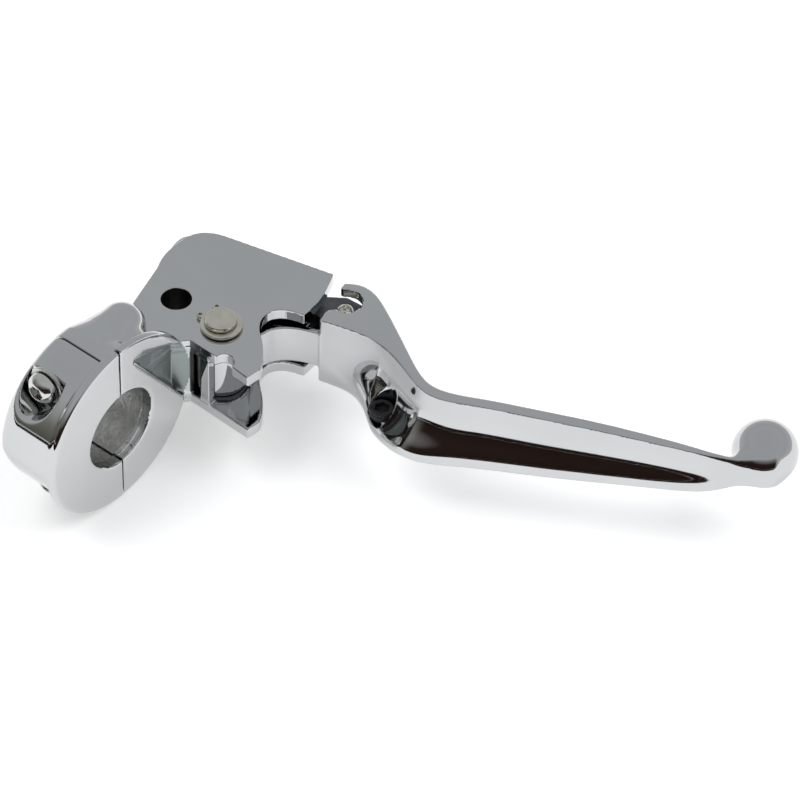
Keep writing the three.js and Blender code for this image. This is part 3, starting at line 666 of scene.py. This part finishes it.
half_height = tree.nodes.new("ShaderNodeMath")
half_height.operation = "MULTIPLY_ADD"
half_height.inputs[1].default_value = 0.5
half_height.inputs[2].default_value = 0.5
tree.links.new(parts.outputs["Z"], half_height.inputs[0])
SKY = (0.52, 0.535, 0.54)
walls = {
    "back": ramp([(-1, (0.5, 0.5, 0.5)), (0.02, (0.62, 0.62, 0.63)), (0.35, (0.5, 0.51, 0.53)), (0.6, SKY),
                  (1, (0.5, 0.51, 0.53))]),
    "front": ramp([(-1, (0.5, 0.5, 0.5)), (-0.03, (0.020, 0.011, 0.009)), (0.26, (0.030, 0.019, 0.016)),
                   (0.42, (0.22, 0.21, 0.20)), (0.62, SKY), (1, (0.5, 0.51, 0.53))]),
    "left": ramp([(-1, (0.5, 0.5, 0.5)), (-0.02, (0.10, 0.10, 0.085)), (0.30, (0.22, 0.22, 0.19)),
                  (0.5, (0.40, 0.41, 0.40)), (0.7, SKY), (1, (0.5, 0.51, 0.53))]),
}
for node in walls.values():
    tree.links.new(half_height.outputs[0], node.inputs["Fac"])


def sector(azimuth_deg, near, far):
    """1 inside the angle `near` of an azimuth, 0 outside `far`, for directions near the horizon."""
    level = tree.nodes.new("ShaderNodeVectorMath")
    level.operation = "MULTIPLY"
    level.inputs[1].default_value = (1, 1, 0)
    tree.links.new(direction.outputs["Generated"], level.inputs[0])
    unit = tree.nodes.new("ShaderNodeVectorMath")
    unit.operation = "NORMALIZE"
    tree.links.new(level.outputs[0], unit.inputs[0])
    dot = tree.nodes.new("ShaderNodeVectorMath")
    dot.operation = "DOT_PRODUCT"
    angle = math.radians(azimuth_deg)
    dot.inputs[1].default_value = (math.cos(angle), math.sin(angle), 0)
    tree.links.new(unit.outputs[0], dot.inputs[0])
    fade = tree.nodes.new("ShaderNodeMapRange")
    fade.interpolation_type = "SMOOTHSTEP"
    fade.inputs["From Min"].default_value = math.cos(math.radians(far))
    fade.inputs["From Max"].default_value = math.cos(math.radians(near))
    tree.links.new(dot.outputs["Value"], fade.inputs["Value"])
    return fade.outputs["Result"]


def over(base, top, factor):
    mix = tree.nodes.new("ShaderNodeMix")
    mix.data_type = "RGBA"
    tree.links.new(factor, mix.inputs["Factor"])
    tree.links.new(base, mix.inputs["A"])
    tree.links.new(top, mix.inputs["B"])
    return mix.outputs["Result"]


room = over(walls["back"].outputs["Color"], walls["left"].outputs["Color"], sector(-122, 20, 42))
room = over(room, walls["front"].outputs["Color"], sector(-60, 36, 58))
tree.links.new(room, background.inputs["Color"])
background.inputs["Strength"].default_value = 1.0

# ---- camera ----
azimuth, elevation, roll = math.radians(38.64), math.radians(45.84), math.radians(1.6)
back = Vector((math.sin(azimuth) * math.cos(elevation), -math.cos(azimuth) * math.cos(elevation),
               math.sin(elevation)))
level = Vector((math.cos(azimuth), math.sin(azimuth), 0))
upright = back.cross(level)
across = level * math.cos(roll) + upright * math.sin(roll)
up = upright * math.cos(roll) - level * math.sin(roll)
DISTANCE = 1.41188
eye = back * DISTANCE + across * 0.08654 + up * 0.00298
camera_data = bpy.data.cameras.new("camera")
camera_data.lens = 225
camera_data.sensor_width = 36
camera = bpy.data.objects.new("camera", camera_data)
bpy.context.scene.collection.objects.link(camera)
camera.matrix_world = Matrix.Translation(eye) @ Matrix((across, up, back)).transposed().to_4x4()
bpy.context.scene.camera = camera
bpy.context.scene.view_settings.view_transform = "Standard"
